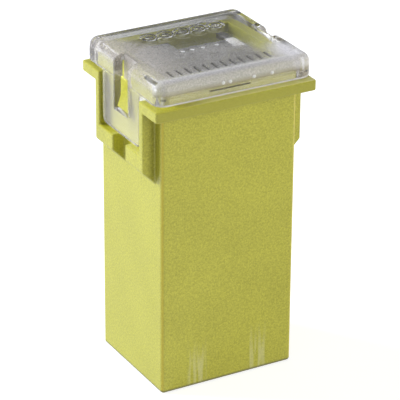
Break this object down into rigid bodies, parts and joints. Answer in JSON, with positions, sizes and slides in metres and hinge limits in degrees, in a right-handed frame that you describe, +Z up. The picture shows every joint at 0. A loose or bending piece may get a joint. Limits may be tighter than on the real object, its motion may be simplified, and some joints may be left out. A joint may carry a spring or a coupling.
{
  "type": "cartridge fuse",
  "caption": "Tall square cartridge fuse: yellow moulded housing, clear clip-on cover, and female terminals behind slots in its base.",
  "frame": {"origin": "middle of the bottom face", "axes": "+Z up from the terminal end to the cover, X along the long side with a clip at each end, -Y the long face that shows in the picture"},
  "size_m": [0.0182, 0.016, 0.0349],
  "materials": {
    "yellow_plastic": "fine-grained moulded",
    "clear_plastic": "clear, slightly frosted",
    "tinned_copper": "tin plated",
    "tin": "dull"
  },
  "bodies": {
    "root": {"housing": "yellow_plastic", "cover": "clear_plastic", "fuse_element": "tinned_copper", "tin_chip": "tin"}
  },
  "joints": []
}
